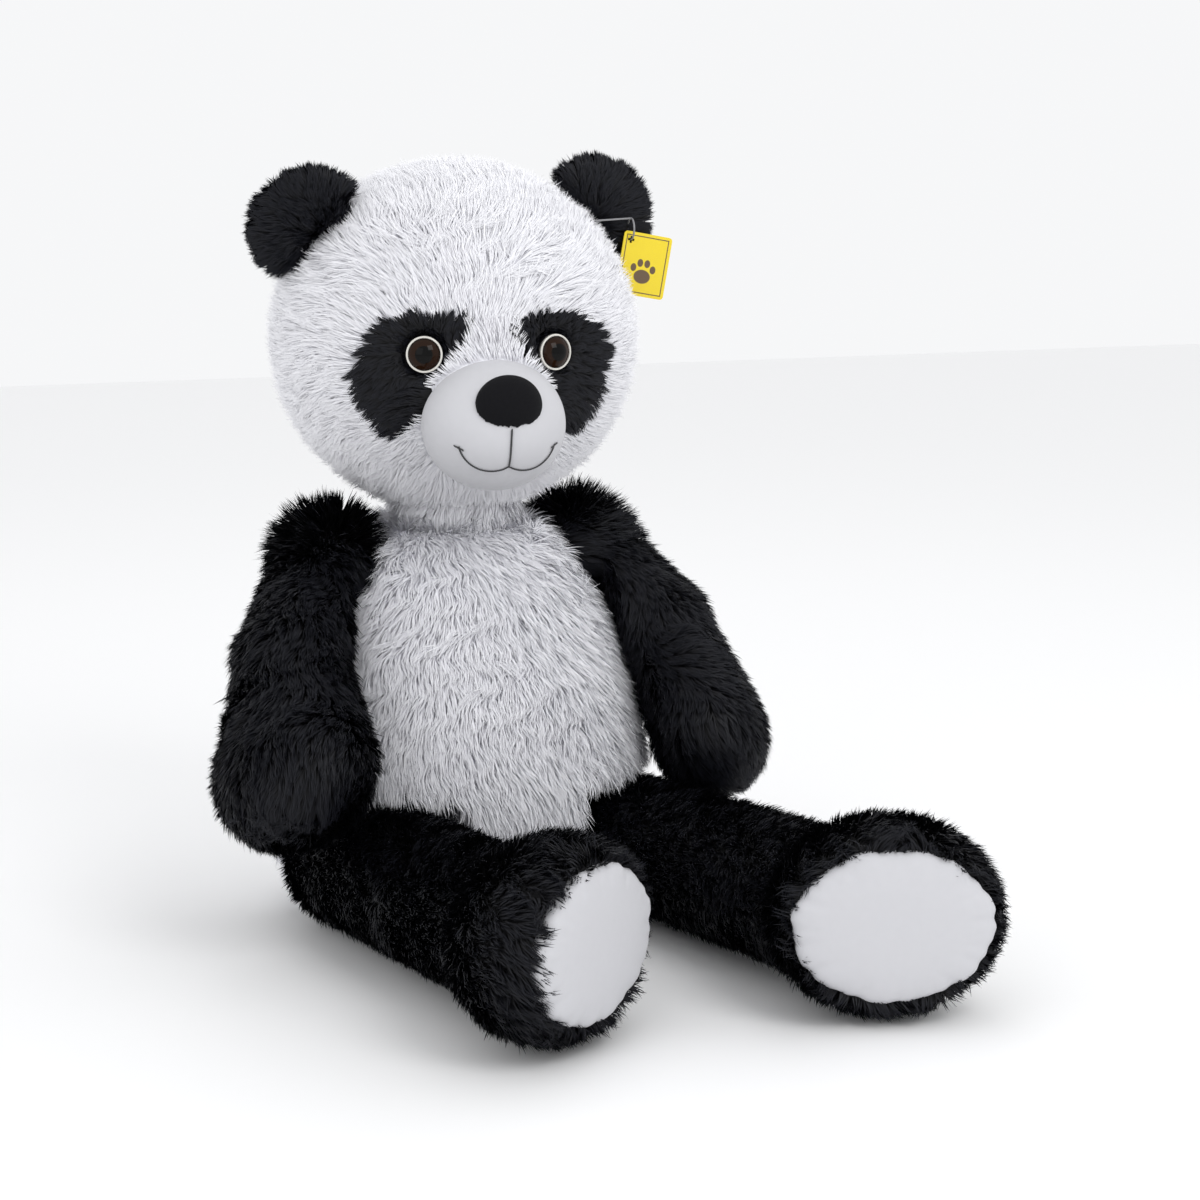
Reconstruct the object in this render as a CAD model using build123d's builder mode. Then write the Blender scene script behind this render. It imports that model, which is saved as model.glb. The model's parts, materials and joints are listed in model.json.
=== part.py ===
"""Large sitting plush panda, as the separate cloth panels, fillings and fittings it is sewn from.

Frame: +Z up, the panda faces -Y, its own left is +X.  The origin is the middle of the flat seat.
The outside of every plush panel is the mean surface of its pile, so a panel is PILE thick.
Units are millimetres.
"""
import os
from math import cos, radians, sin

from build123d import *

os.makedirs("parts", exist_ok=True)

# ---------------------------------------------------------------- driving dimensions
PILE = 10.0            # backing cloth and pile of the long plush, taken together
SHORT_PILE = 4.0       # backing and nap of the short plush on the muzzle
GAP = 0.6              # clearance round each limb's seam ball

# torso: height of the section, half width, half depth, and its shift towards +Y
TORSO_SECTIONS = [
    (0, 122, 104, 0),
    (38, 156, 135, -2),
    (100, 166, 145, -8),
    (170, 158, 137, -6),
    (240, 139, 119, 0),
    (298, 112, 96, 4),
    (340, 70, 62, 4),
]
SEAT_LINE = PILE       # top of the seat panel

NECK = (0, 0, 345)     # centre of the stuffed neck
NECK_R = 42.0

HEAD_TURN = -10.5      # the head looks this far to the panda's right of the body
HEAD_C = (0, -5, 497)
HEAD_R = (154, 140, 147)

PATCH_C = (66, 477)    # eye patch centre, across and up
PATCH_R = (60, 41)
PATCH_SLOPE = 44       # how far the patch droops outwards

EYE_C = (54, -126, 490)   # middle of the eye's flat back, on the backing cloth
EYE_SPLAY = 17            # each eye looks this far outwards
EYE_R = 15.0
LENS_R = 12.8

MUZZLE_C = (0, -138, 433)
MUZZLE_R = (59, 59, 54)
NOSE_C = (0, -187, 452)
NOSE_R = (27, 14, 24)
STITCH = 2.2           # width of the embroidered mouth line
STITCH_RISE = 1.2      # and how far it stands proud of the muzzle

EAR_LEAN = {"left": 51, "right": 54}   # from straight up, seen from the front
EAR_AHEAD = {"left": 0, "right": 10}   # and forward of the head's middle
EAR_CUP = {"left": 6, "right": 22}     # the ear's inner end is set this far forward of its outer end
EAR_REACH = 160        # head centre to ear centre
EAR_R = 43
EAR_HALF = 13          # half the ear's thickness
EAR_CLOTH = 7          # backing and pile of one side of the ear at its rim
EAR_THIN = 0.6         # and the share of it left in the middle
EAR_SEAM_REACH = 150   # head centre to the seam that the ear folds about
EAR_SEAM_R = 8
EAR_SEAM_HALF = 27     # half the length of the seam

SHOULDER = (118, 2, 308)
ARM_R = 42             # at the shoulder
ELBOW_BOW = 20         # the arm is bowed outwards this far at its middle
ELBOW_R = (43, 50)     # through the arm and across it
TUBE_INSIDE = 1.5      # a limb's tube ends this far inside the round form it runs into
HAND = {"left": (184, -114, 157), "right": (196, -122, 161)}
HAND_R = {"left": (49, 62, 60), "right": (57, 72, 62)}   # through the hand, across it, along it
SIDE_YAW = 10          # the side plane that the arms lie outside of faces this far forward,
SIDE_TILT = 14.6       # and this far upward
SIDE_REACH = 197.6     # distance of that plane from the origin

HIP = (118, -45, 58)
HIP_R = 56
THIGH_PLAY = 6         # room for the thigh in the torso's side, beyond its own radius
LEG_END_R = 58         # the leg's tube ends inside the foot,
LEG_END_DROP = 8       # this far below the foot's centre
FOOT = {"left": (152, -450, 80), "right": (101, -397, 82)}
FOOT_R = (90, 70, 75)  # across the foot, through it, and up
SOLE_TURN = {"left": 22, "right": 32}   # soles are rolled inwards
SOLE_R = (75, 57)
SOLE_FACE = 44         # foot centre to the face of the sole
SOLE_THICK = 9
SOLE_SET = 4           # the sole stands this far proud of the foot's flat front
SOLE_ROUND = 3.5       # rounding of the sole's rim

TAG_HOLE = (152, -28, 579)
TAG_SIZE = (44, 54, 1.2)
TAG_CORNER = 3
TAG_LEAN = 10
TAG_MARGIN = 7         # the hole's middle is this far from the card's two nearest edges
TAG_HOLE_R = 2.6

SIDES = {"left": 1, "right": -1}


# ---------------------------------------------------------------- shared helpers
def ellipsoid(centre, radii, turn=0.0):
    """A closed ellipsoid, turned about its own vertical axis."""
    ball = scale(Sphere(1, mode=Mode.PRIVATE), by=radii, mode=Mode.PRIVATE)
    return Location(centre, (0, 0, turn)) * ball


def on_head(x, y, z):
    """A point of the straight-looking head, after the head has been turned."""
    c, s = cos(radians(HEAD_TURN)), sin(radians(HEAD_TURN))
    return (x * c - y * s, x * s + y * c, z)


def head_ball(centre, radii):
    return ellipsoid(on_head(*centre), radii, HEAD_TURN)


def shrink(radii, amount):
    return tuple(r - amount for r in radii)


def block(low, high):
    """An axis-aligned block between two corners."""
    size = [h - l for l, h in zip(low, high)]
    middle = [(h + l) / 2 for l, h in zip(low, high)]
    return Pos(*middle) * Box(*size, mode=Mode.PRIVATE)


def head_block(low, high):
    return Location((0, 0, 0), (0, 0, HEAD_TURN)) * block(low, high)


def save(name, builder):
    builder.part.label = name
    export_step(builder.part, f"parts/{name}.step")
    print(f"{name:28s} solids {len(builder.part.solids()):2d}  volume {builder.part.volume:12.0f}")


BIG = 900.0

# ---------------------------------------------------------------- clearances cut from the torso
with BuildPart() as limb_room:
    for side in SIDES.values():
        with Locations((side * SHOULDER[0], SHOULDER[1], SHOULDER[2])):
            Sphere(ARM_R + GAP)
        with Locations((side * HIP[0], HIP[1], HIP[2])):
            Sphere(HIP_R + GAP)
        # room for the thigh, from lying forward to hanging straight down
        thigh_room = HIP_R + THIGH_PLAY
        with BuildSketch(Plane.YZ.offset(side * HIP[0])) as thigh_sweep:
            with Locations((HIP[1], HIP[2])):
                Circle(thigh_room)
            with Locations((HIP[1] - BIG / 2, HIP[2])):
                Rectangle(BIG, 2 * thigh_room)
            with Locations((HIP[1], HIP[2] - BIG / 2)):
                Rectangle(2 * thigh_room, BIG)
            with Locations((HIP[1] - BIG / 2, HIP[2] - BIG / 2)):
                Rectangle(BIG, BIG)
        extrude(amount=thigh_room, both=True)
    with Locations(NECK):
        Sphere(NECK_R + GAP)


# ---------------------------------------------------------------- torso
def torso_form(inset):
    """The torso as one solid, its walls moved in by inset and its ends too."""
    low, high = TORSO_SECTIONS[0][0], TORSO_SECTIONS[-1][0]
    with BuildPart() as form:
        for height, half_width, half_depth, shift in TORSO_SECTIONS:
            level = min(max(height, low + inset), high - inset)
            with BuildSketch(Plane.XY.offset(level)):
                with Locations((0, shift)):
                    Ellipse(half_width - inset, half_depth - inset)
        loft()
    return form.part


torso_outer = torso_form(0)
torso_inner = torso_form(PILE)

PANEL_BLOCKS = {
    "seat_panel": ((-BIG, -BIG, -BIG), (BIG, BIG, SEAT_LINE)),
    "torso_front_panel": ((-BIG, -BIG, SEAT_LINE), (BIG, 0, BIG)),
    "torso_back_left_panel": ((0, 0, SEAT_LINE), (BIG, BIG, BIG)),
    "torso_back_right_panel": ((-BIG, 0, SEAT_LINE), (0, BIG, BIG)),
}
for panel_name, (low, high) in PANEL_BLOCKS.items():
    with BuildPart() as torso_panel:
        add(torso_outer)
        add(torso_inner, mode=Mode.SUBTRACT)
        add(limb_room.part, mode=Mode.SUBTRACT)
        add(block(low, high), mode=Mode.INTERSECT)
    save(panel_name, torso_panel)

with BuildPart() as torso_stuffing:
    add(torso_inner)
    add(limb_room.part, mode=Mode.SUBTRACT)
save("torso_stuffing", torso_stuffing)

with BuildPart() as neck_stuffing:
    with Locations(NECK):
        Sphere(NECK_R)
save("neck_stuffing", neck_stuffing)


# ---------------------------------------------------------------- ears
def ear_frame(side_name):
    """A plane at the head's centre: its Z runs out through the ear, its Y across the thickness."""
    side = SIDES[side_name]
    lean, ahead, cup = (radians(table[side_name]) for table in (EAR_LEAN, EAR_AHEAD, EAR_CUP))
    out = Vector(*on_head(side * sin(lean) * cos(ahead), -sin(ahead), cos(lean) * cos(ahead)))
    level_seam = Vector(*on_head(side * cos(lean), 0, -sin(lean)))
    forward = Vector(*on_head(-side * sin(lean) * sin(ahead), -cos(ahead), -cos(lean) * sin(ahead)))
    along_seam = level_seam * cos(cup) - forward * sin(cup)
    return Plane(origin=on_head(*HEAD_C), x_dir=along_seam, z_dir=out)


def ear_bar(radius, half_length):
    """The gathered seam, in the ear's own frame."""
    bar = Cylinder(radius, 2 * half_length, rotation=(0, 90, 0), mode=Mode.PRIVATE)
    return Pos(0, 0, EAR_SEAM_REACH) * bar


def ear_seam(side_name, radius, half_length):
    return ear_frame(side_name).location * ear_bar(radius, half_length)


def ear_disc(inset):
    """The ear without its seam, in its own frame, its walls moved in by inset."""
    radii = (EAR_R - inset, EAR_HALF - inset * EAR_THIN, EAR_R - inset)
    root = block((-BIG, -BIG, -BIG), (BIG, BIG, EAR_SEAM_REACH + EAR_SEAM_R - 1 + inset))
    return ellipsoid((0, 0, EAR_REACH), radii) - root


ear_cloth = ear_disc(0) - ear_disc(EAR_CLOTH) - ear_bar(EAR_SEAM_R, EAR_SEAM_HALF)
for side_name, side in SIDES.items():
    # the frame's Y runs backwards through the left ear and forwards through the right one
    halves = {"front": -side, "back": side}
    for half_name, toward in halves.items():
        half = block((-BIG, min(0, toward * BIG), -BIG), (BIG, max(0, toward * BIG), BIG))
        with BuildPart() as ear_panel:
            add(ear_frame(side_name).location * (ear_cloth & half))
        save(f"{side_name}_ear_{half_name}_panel", ear_panel)
    with BuildPart() as ear_filling:
        add(ear_frame(side_name).location * ear_disc(EAR_CLOTH))
    save(f"{side_name}_ear_filling", ear_filling)
    with BuildPart() as ear_root:
        add(ear_seam(side_name, EAR_SEAM_R, EAR_SEAM_HALF))
    save(f"{side_name}_ear_seam", ear_root)


# ---------------------------------------------------------------- eyes
def eye_frame(side, outward):
    """A plane on the eye's flat back, or outward of it, looking the way the eye looks."""
    splay = radians(EYE_SPLAY)
    look = on_head(side * sin(splay), -cos(splay), 0)
    back = on_head(side * EYE_C[0], EYE_C[1], EYE_C[2])
    centre = tuple(b + outward * l for b, l in zip(back, look))
    return Plane(origin=centre, x_dir=(look[1], -look[0], 0), z_dir=look)


STEM_R = 3.0
STEM_LENGTH = 16.0
WASHER_R = 11.5
BACK_THICK = 1.6
IRIS_THICK = 0.8
RIM_DEPTH = 3.2
LENS_RISE = 6.0

for side_name, side in SIDES.items():
    with BuildPart() as eye_back:
        with BuildSketch(eye_frame(side, 0)):
            Circle(EYE_R)
        extrude(amount=BACK_THICK)
        with BuildSketch(eye_frame(side, 0)):
            Circle(STEM_R)
        extrude(amount=-STEM_LENGTH)
    save(f"{side_name}_eye_back", eye_back)

    with BuildPart() as eye_rim:
        with BuildSketch(eye_frame(side, BACK_THICK)):
            Circle(EYE_R)
            Circle(LENS_R, mode=Mode.SUBTRACT)
        extrude(amount=RIM_DEPTH)
        outer_top = eye_rim.edges().filter_by(GeomType.CIRCLE).sort_by(SortBy.RADIUS)[-2:]
        top_edge = outer_top.sort_by_distance(eye_frame(side, BACK_THICK + RIM_DEPTH).origin)[0:1]
        fillet(top_edge, radius=1.4)
    save(f"{side_name}_eye_rim", eye_rim)

    with BuildPart() as eye_iris:
        with BuildSketch(eye_frame(side, BACK_THICK)):
            Circle(LENS_R)
        extrude(amount=IRIS_THICK)
    save(f"{side_name}_eye_iris", eye_iris)

    # the lens is a low dome: the cap of a ball that meets the rim at LENS_R
    lens_base = BACK_THICK + IRIS_THICK
    ball_r = (LENS_R ** 2 + LENS_RISE ** 2) / (2 * LENS_RISE)
    with BuildPart() as eye_lens:
        with BuildSketch(eye_frame(side, lens_base)):
            Circle(LENS_R)
        extrude(amount=RIM_DEPTH - IRIS_THICK + LENS_RISE)
        with Locations(eye_frame(side, BACK_THICK + RIM_DEPTH + LENS_RISE - ball_r).location):
            Sphere(ball_r, mode=Mode.INTERSECT)
    save(f"{side_name}_eye_lens", eye_lens)

    with BuildPart() as eye_washer:
        with BuildSketch(eye_frame(side, -PILE + 2)):
            Circle(WASHER_R)
            Circle(STEM_R, mode=Mode.SUBTRACT)
        extrude(amount=-2)
    save(f"{side_name}_eye_washer", eye_washer)

with BuildPart() as eye_room:
    for side in SIDES.values():
        with BuildSketch(eye_frame(side, 0)):
            Circle(EYE_R)
        extrude(amount=3 * PILE)
        with BuildSketch(eye_frame(side, 0)):
            Circle(STEM_R)
        extrude(amount=-STEM_LENGTH)
        with BuildSketch(eye_frame(side, -PILE + 2)):
            Circle(WASHER_R)
        extrude(amount=-2)

# ---------------------------------------------------------------- muzzle, nose and mouth
head_outer = head_ball(HEAD_C, HEAD_R)
head_inner = head_ball(HEAD_C, shrink(HEAD_R, PILE))
muzzle_outer = head_ball(MUZZLE_C, MUZZLE_R)
muzzle_inner = head_ball(MUZZLE_C, shrink(MUZZLE_R, SHORT_PILE))

with BuildPart() as nose:
    add(head_ball(NOSE_C, NOSE_R))
    add(muzzle_outer, mode=Mode.SUBTRACT)
save("nose", nose)

with BuildPart() as muzzle_cover:
    add(muzzle_outer)
    add(muzzle_inner, mode=Mode.SUBTRACT)
    add(head_outer, mode=Mode.SUBTRACT)
save("muzzle_cover", muzzle_cover)

with BuildPart() as muzzle_stuffing:
    add(muzzle_inner)
    add(head_inner, mode=Mode.SUBTRACT)
save("muzzle_stuffing", muzzle_stuffing)

# the mouth: one stitched line down from the nose and a smile, standing a little proud
SMILE_LOW = (17, 400.5)
SMILE_END = (39, 420)
LIP = 404
front_plane = Plane(origin=(0, 0, 0), x_dir=on_head(1, 0, 0), z_dir=on_head(0, -1, 0))
with BuildPart() as stitch_prism:
    with BuildSketch(front_plane.offset(-MUZZLE_C[1])):
        with BuildLine():
            Line((0, LIP), (0, NOSE_C[2] - NOSE_R[2] + 6))
        trace(line_width=STITCH)
        for side in SIDES.values():
            with BuildLine():
                ThreePointArc((0, LIP), (side * SMILE_LOW[0], SMILE_LOW[1]),
                              (side * SMILE_END[0], SMILE_END[1]))
            trace(line_width=STITCH)
    extrude(amount=BIG)

with BuildPart() as mouth_embroidery:
    add(head_ball(MUZZLE_C, shrink(MUZZLE_R, -STITCH_RISE)))
    add(muzzle_outer, mode=Mode.SUBTRACT)
    add(stitch_prism.part, mode=Mode.INTERSECT)
    add(head_ball(NOSE_C, NOSE_R), mode=Mode.SUBTRACT)
save("mouth_embroidery", mouth_embroidery)


# ---------------------------------------------------------------- head
tag_face = Plane(origin=on_head(*TAG_HOLE), x_dir=on_head(1, 0, 0), z_dir=on_head(0, -1, 0))


def tag_card(grow):
    """The swing tag's card without its hole, hung by its corner and grown on every side."""
    wide, tall, thick = (size + 2 * grow for size in TAG_SIZE)
    with BuildPart() as card:
        with BuildSketch(tag_face.offset(-thick / 2)):
            with Locations(Location((0, 0), (0, 0, -TAG_LEAN))):
                with Locations((TAG_SIZE[0] / 2 - TAG_MARGIN, TAG_MARGIN - TAG_SIZE[1] / 2)):
                    RectangleRounded(wide, tall, TAG_CORNER)
        extrude(amount=thick)
    return card.part


def patch_prism(side):
    """An oval column straight back through the face, where the eye patch is let in."""
    with BuildPart() as prism:
        with BuildSketch(front_plane):
            with Locations(Location((side * PATCH_C[0], PATCH_C[1]), (0, 0, -side * PATCH_SLOPE))):
                Ellipse(*PATCH_R)
        extrude(amount=BIG)
    return prism.part


with BuildPart() as head_shell:
    add(head_outer)
    add(head_inner, mode=Mode.SUBTRACT)
    with Locations(NECK):
        Sphere(NECK_R + GAP, mode=Mode.SUBTRACT)
    for side_name in SIDES:
        add(ear_seam(side_name, EAR_SEAM_R + GAP, EAR_SEAM_HALF + 2), mode=Mode.SUBTRACT)

with BuildPart() as face_shell:
    add(head_shell.part)
    add(head_block((-BIG, -BIG, -BIG), (BIG, 0, BIG)), mode=Mode.INTERSECT)
    add(muzzle_inner, mode=Mode.SUBTRACT)
    for side in SIDES.values():
        add(patch_prism(side), mode=Mode.SUBTRACT)
    add(eye_room.part, mode=Mode.SUBTRACT)
    # the pile is parted where the edge of the swing tag rests in it
    add(tag_card(GAP), mode=Mode.SUBTRACT)

for side_name, side in SIDES.items():
    with BuildPart() as eye_patch:
        add(head_shell.part)
        add(patch_prism(side), mode=Mode.INTERSECT)
        add(muzzle_outer, mode=Mode.SUBTRACT)
        add(eye_room.part, mode=Mode.SUBTRACT)
    save(f"{side_name}_eye_patch", eye_patch)

    x_low, x_high = min(0, side * BIG), max(0, side * BIG)
    with BuildPart() as face_panel:
        add(face_shell.part)
        add(head_block((x_low, -BIG, -BIG), (x_high, 0, BIG)), mode=Mode.INTERSECT)
    save(f"face_{side_name}_panel", face_panel)

    with BuildPart() as head_back_panel:
        add(head_shell.part)
        add(head_block((x_low, 0, -BIG), (x_high, BIG, BIG)), mode=Mode.INTERSECT)
    save(f"head_back_{side_name}_panel", head_back_panel)

with BuildPart() as head_stuffing:
    add(head_inner)
    with Locations(NECK):
        Sphere(NECK_R + GAP, mode=Mode.SUBTRACT)
    add(eye_room.part, mode=Mode.SUBTRACT)
save("head_stuffing", head_stuffing)


# ---------------------------------------------------------------- limbs
def tube(start, end, start_radii, end_radii, first_dir=(1, 0, 0)):
    """A tube between two ovals, the first radius of each lying along first_dir."""
    along = Vector(*end) - Vector(*start)
    x_dir = Vector(*first_dir) - along * (Vector(*first_dir).dot(along) / along.length ** 2)
    with BuildPart() as form:
        for point, radii in ((start, start_radii), (end, end_radii)):
            with BuildSketch(Plane(origin=point, x_dir=x_dir, z_dir=along)):
                Ellipse(*radii)
        loft()
    return form.part


def side_normal(side):
    yaw, tilt = radians(SIDE_YAW), radians(SIDE_TILT)
    return (side * cos(tilt) * cos(yaw), -cos(tilt) * sin(yaw), sin(tilt))


def arm_form(side_name, inset):
    side = SIDES[side_name]
    shoulder = (side * SHOULDER[0], SHOULDER[1], SHOULDER[2])
    hand = (side * HAND[side_name][0], *HAND[side_name][1:])
    hand_r = shrink(HAND_R[side_name], inset)
    normal = side_normal(side)
    elbow = tuple((s + h) / 2 + ELBOW_BOW * n for s, h, n in zip(shoulder, hand, normal))
    elbow_r = (ELBOW_R[0] - inset, ELBOW_R[1] - inset, ELBOW_R[1] - inset)
    along = Vector(*hand) - Vector(*shoulder)
    across = Vector(*normal) - along * (Vector(*normal).dot(along) / along.length ** 2)
    elbow_plane = Plane(origin=elbow, x_dir=across, z_dir=along)
    hand_plane = Plane(origin=hand, x_dir=across, z_dir=along)
    side_plane = Plane(origin=tuple(SIDE_REACH * n for n in normal), z_dir=normal)
    with BuildPart() as form:
        shoulder_tube = (ARM_R - inset - TUBE_INSIDE, ARM_R - inset - TUBE_INSIDE)
        elbow_tube = shrink(elbow_r[:2], TUBE_INSIDE)
        add(tube(shoulder, elbow, shoulder_tube, elbow_tube, normal))
        add(elbow_plane.location * ellipsoid((0, 0, 0), elbow_r))
        add(tube(elbow, hand, elbow_tube, shrink(hand_r[:2], TUBE_INSIDE), normal))
        add(hand_plane.location * ellipsoid((0, 0, 0), hand_r))
        # the arm lies against a plane outside the torso's side, so it swings past the torso
        add(side_plane.location * block((-BIG, -BIG, -BIG), (BIG, BIG, inset)), mode=Mode.SUBTRACT)
        with Locations(shoulder):
            Sphere(ARM_R - inset)
    return form.part, Plane(origin=shoulder, x_dir=along, z_dir=across)


for side_name, side in SIDES.items():
    arm_outer, seam_plane = arm_form(side_name, 0)
    arm_inner, _ = arm_form(side_name, PILE)
    for panel_name, low, high in (("outer", 0, BIG), ("inner", -BIG, 0)):
        with BuildPart() as arm_panel:
            add(arm_outer)
            add(arm_inner, mode=Mode.SUBTRACT)
            add(seam_plane.location * block((-BIG, -BIG, low), (BIG, BIG, high)),
                mode=Mode.INTERSECT)
        save(f"{side_name}_arm_{panel_name}_panel", arm_panel)
    with BuildPart() as arm_stuffing:
        add(arm_inner)
    save(f"{side_name}_arm_stuffing", arm_stuffing)


def sole_plane(side_name, depth):
    """The foot's sole plane, standing upright; its X runs along the sole."""
    side, turn = SIDES[side_name], radians(SOLE_TURN[side_name])
    face = (-side * sin(turn), -cos(turn), 0)
    foot = (side * FOOT[side_name][0], FOOT[side_name][1], FOOT[side_name][2])
    centre = tuple(f + depth * n for f, n in zip(foot, face))
    return Plane(origin=centre, x_dir=(cos(turn), -side * sin(turn), 0), z_dir=face)


def leg_form(side_name, inset, flat_front):
    """The leg as one solid, its walls moved in by inset, cut flat in front of the foot."""
    side = SIDES[side_name]
    hip = (side * HIP[0], HIP[1], HIP[2])
    foot_x, foot_y, foot_z = FOOT[side_name]
    leg_end = (side * foot_x, foot_y, foot_z - LEG_END_DROP)
    with BuildPart() as form:
        hip_tube = (HIP_R - inset - TUBE_INSIDE, HIP_R - inset - TUBE_INSIDE)
        end_tube = (LEG_END_R - inset, LEG_END_R - inset)
        add(tube(hip, leg_end, hip_tube, end_tube))
        with Locations(hip):
            Sphere(HIP_R - inset)
        # the foot: a fat disc, flat where the sole is sewn in
        across, through, up = shrink(FOOT_R, inset)
        add(sole_plane(side_name, 0).location * ellipsoid((0, 0, 0), (across, up, through)))
        add(sole_plane(side_name, flat_front).location
            * block((-BIG, -BIG, 0), (BIG, BIG, BIG)), mode=Mode.SUBTRACT)
    return form.part


for side_name, side in SIDES.items():
    leg_outer = leg_form(side_name, 0, SOLE_FACE - SOLE_SET)
    leg_inner = leg_form(side_name, PILE, SOLE_FACE - SOLE_THICK - GAP)
    with BuildPart() as sole:
        with BuildSketch(sole_plane(side_name, SOLE_FACE - SOLE_THICK)):
            Ellipse(*SOLE_R)
        extrude(amount=SOLE_THICK)
        rim = sole.edges().sort_by_distance(sole_plane(side_name, SOLE_FACE + BIG).origin)[0:1]
        fillet(rim, radius=SOLE_ROUND)
    save(f"{side_name}_sole", sole)

    seam_height = HIP[2]
    for panel_name, low, high in (("upper", seam_height, BIG), ("lower", -BIG, seam_height)):
        with BuildPart() as leg_panel:
            add(leg_outer)
            add(leg_inner, mode=Mode.SUBTRACT)
            add(sole.part, mode=Mode.SUBTRACT)
            add(block((-BIG, -BIG, low), (BIG, BIG, high)), mode=Mode.INTERSECT)
        save(f"{side_name}_leg_{panel_name}_panel", leg_panel)
    with BuildPart() as leg_stuffing:
        add(leg_inner)
    save(f"{side_name}_leg_stuffing", leg_stuffing)

# ---------------------------------------------------------------- hang tag
LOOP_R = 9.0           # the plastic loop that the tag hangs on
LOOP_WIRE = 0.8
with BuildPart() as hang_tag:
    add(tag_card(0))
    with BuildSketch(tag_face.offset(-BIG)):
        Circle(TAG_HOLE_R)
    extrude(amount=2 * BIG, mode=Mode.SUBTRACT)
save("hang_tag", hang_tag)

loop_centre = on_head(TAG_HOLE[0], TAG_HOLE[1], TAG_HOLE[2] + LOOP_R)
loop_anchor = on_head(TAG_HOLE[0] - 56, TAG_HOLE[1] - 14, TAG_HOLE[2] + LOOP_R + 6)
with BuildPart() as tag_loop:
    with Locations(Location(loop_centre, (0, 0, HEAD_TURN))):
        Torus(LOOP_R, LOOP_WIRE, rotation=(0, 90, 0))
    loop_top = Vector(*loop_centre) + Vector(0, 0, LOOP_R)
    tether = Vector(*loop_anchor) - loop_top
    with BuildSketch(Plane(origin=loop_top, z_dir=tether)):
        Circle(LOOP_WIRE)
    extrude(amount=tether.length)
    add(head_outer, mode=Mode.SUBTRACT)
save("tag_loop", tag_loop)
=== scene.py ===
import json
import math

import bmesh
import bpy
import numpy as np
from mathutils import Matrix, Vector
from mathutils.bvhtree import BVHTree


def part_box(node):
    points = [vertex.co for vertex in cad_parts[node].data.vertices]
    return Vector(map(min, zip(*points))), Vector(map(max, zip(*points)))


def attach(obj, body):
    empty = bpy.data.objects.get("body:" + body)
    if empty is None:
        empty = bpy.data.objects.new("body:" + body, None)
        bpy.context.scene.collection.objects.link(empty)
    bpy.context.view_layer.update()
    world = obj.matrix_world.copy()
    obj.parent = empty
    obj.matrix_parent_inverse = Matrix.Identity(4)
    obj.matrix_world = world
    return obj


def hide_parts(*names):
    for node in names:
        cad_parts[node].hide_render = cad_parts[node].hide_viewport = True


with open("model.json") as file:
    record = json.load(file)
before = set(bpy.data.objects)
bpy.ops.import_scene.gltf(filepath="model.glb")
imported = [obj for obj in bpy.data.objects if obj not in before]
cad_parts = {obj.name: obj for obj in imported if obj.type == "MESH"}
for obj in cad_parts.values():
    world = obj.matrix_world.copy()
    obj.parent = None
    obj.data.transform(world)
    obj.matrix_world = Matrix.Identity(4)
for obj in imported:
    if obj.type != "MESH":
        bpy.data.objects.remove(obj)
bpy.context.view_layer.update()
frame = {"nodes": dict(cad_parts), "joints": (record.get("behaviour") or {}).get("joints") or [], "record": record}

MM = 0.001

# ---------------------------------------------------------------- view, light and floor
# A photographer's sweep: a pale floor, one broad window-like lamp high on the left, a weaker
# one on the right and an even pale sky, with the camera level with the toy's chin.
scene = bpy.context.scene
VIEW_TURN = math.radians(24)
VIEW_FAR, VIEW_HIGH = 2.15, 0.62
AIM_ACROSS, AIM_HIGH = 0.127, 0.265
across = np.array((math.cos(VIEW_TURN), -math.sin(VIEW_TURN), 0))
toward = np.array((-math.sin(VIEW_TURN), -math.cos(VIEW_TURN), 0))


def aimed(thing, place, target):
    """Puts a lamp or the camera at place, looking at target."""
    thing.location = place
    thing.rotation_euler = (Vector(target) - Vector(place)).to_track_quat("-Z", "Y").to_euler()
    scene.collection.objects.link(thing)


lens = bpy.data.cameras.new("camera")
lens.sensor_width, lens.lens = 36, 74.4
camera = bpy.data.objects.new("camera", lens)
view_from = tuple(toward * VIEW_FAR + (0, 0, VIEW_HIGH))
aimed(camera, view_from, tuple(across * AIM_ACROSS + (0, 0, AIM_HIGH)))
scene.camera = camera

for lamp_name, turn, far, high, size, watts in (
    ("key_lamp", 8, 2.2, 2.0, 1.2, 19),
    ("fill_lamp", -55, 2.6, 1.2, 1.6, 5),
    ("top_lamp", 150, 1.2, 2.6, 1.6, 5),
):
    lamp = bpy.data.lights.new(lamp_name, "AREA")
    lamp.size, lamp.energy = size, watts
    bearing = math.radians(turn)
    place = (far * math.sin(bearing), -far * math.cos(bearing), high)
    aimed(bpy.data.objects.new(lamp_name, lamp), place, (0, -0.1, 0.3))

world = bpy.data.worlds.new("studio")
world.use_nodes = True
world.node_tree.nodes["Background"].inputs["Color"].default_value = (0.985, 0.99, 1.0, 1)
world.node_tree.nodes["Background"].inputs["Strength"].default_value = 0.94
scene.world = world
scene.view_settings.view_transform = "Standard"


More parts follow.
